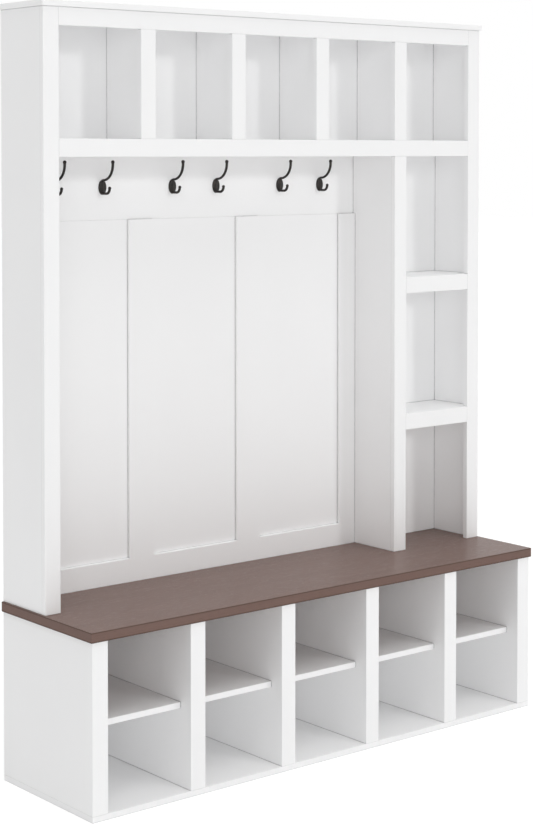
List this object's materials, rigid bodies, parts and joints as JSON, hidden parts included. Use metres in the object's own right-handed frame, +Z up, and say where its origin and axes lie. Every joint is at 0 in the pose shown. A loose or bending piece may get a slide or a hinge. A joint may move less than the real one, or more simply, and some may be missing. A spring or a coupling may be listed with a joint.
{
  "type": "hall tree with hooks",
  "caption": "Hall tree: shoe bench with open bays, panelled coat space with double hooks, a row of cubbies on top and a narrow shelf tower at the right.",
  "frame": {"origin": "on the floor, under the middle of the whole piece", "axes": "+Z up, front towards -Y, the shelf tower towards +X"},
  "size_m": [1.51, 0.405, 1.958],
  "materials": {
    "white_board": "white satin laminate on board",
    "brown_top": "brown satin wood-grain laminate",
    "dark_bronze": "near-black bronze, satin",
    "zinc_steel": "zinc plated",
    "dowel_wood": "raw beech"
  },
  "bodies": {
    "root": {"back_screws": "zinc_steel", "batten_1": "white_board", "batten_2": "white_board", "batten_3": "white_board", "batten_4": "white_board", "batten_rail": "white_board", "bench_back_panel": "white_board", "bench_divider_1": "white_board", "bench_divider_2": "white_board", "bench_divider_3": "white_board", "bench_divider_4": "white_board", "bench_top": "brown_top", "bottom_board": "white_board", "bottom_screws": "zinc_steel", "bracket_screws": "zinc_steel", "cam_bolts": "zinc_steel", "cam_locks": "zinc_steel", "coat_back_panel": "white_board", "coat_hook_1": "dark_bronze", "coat_hook_2": "dark_bronze", "coat_hook_3": "dark_bronze", "coat_hook_4": "dark_bronze", "coat_hook_5": "dark_bronze", "coat_hook_6": "dark_bronze", "crown_board": "white_board", "cubby_back": "white_board", "cubby_divider_1": "white_board", "cubby_divider_2": "white_board", "cubby_divider_3": "white_board", "cubby_divider_4": "white_board", "cubby_floor": "white_board", "cubby_stile_1": "white_board", "cubby_stile_2": "white_board", "cubby_stile_3": "white_board", "cubby_stile_4": "white_board", "hook_board": "white_board", "hook_bolts": "zinc_steel", "left_bench_side": "white_board", "left_side_panel": "white_board", "left_stile": "white_board", "mid_rail": "white_board", "right_bench_side": "white_board", "right_side_panel": "white_board", "right_stile": "white_board", "shelf_pins": "zinc_steel", "shoe_shelf_1": "white_board", "shoe_shelf_2": "white_board", "shoe_shelf_3": "white_board", "shoe_shelf_4": "white_board", "shoe_shelf_5": "white_board", "top_rail": "white_board", "tower_back": "white_board", "tower_panel": "white_board", "tower_shelf_1": "white_board", "tower_shelf_2": "white_board", "tower_shelf_edge_1": "white_board", "tower_shelf_edge_2": "white_board", "tower_stile": "white_board", "wall_brackets": "zinc_steel", "wood_dowels": "dowel_wood"}
  },
  "joints": []
}
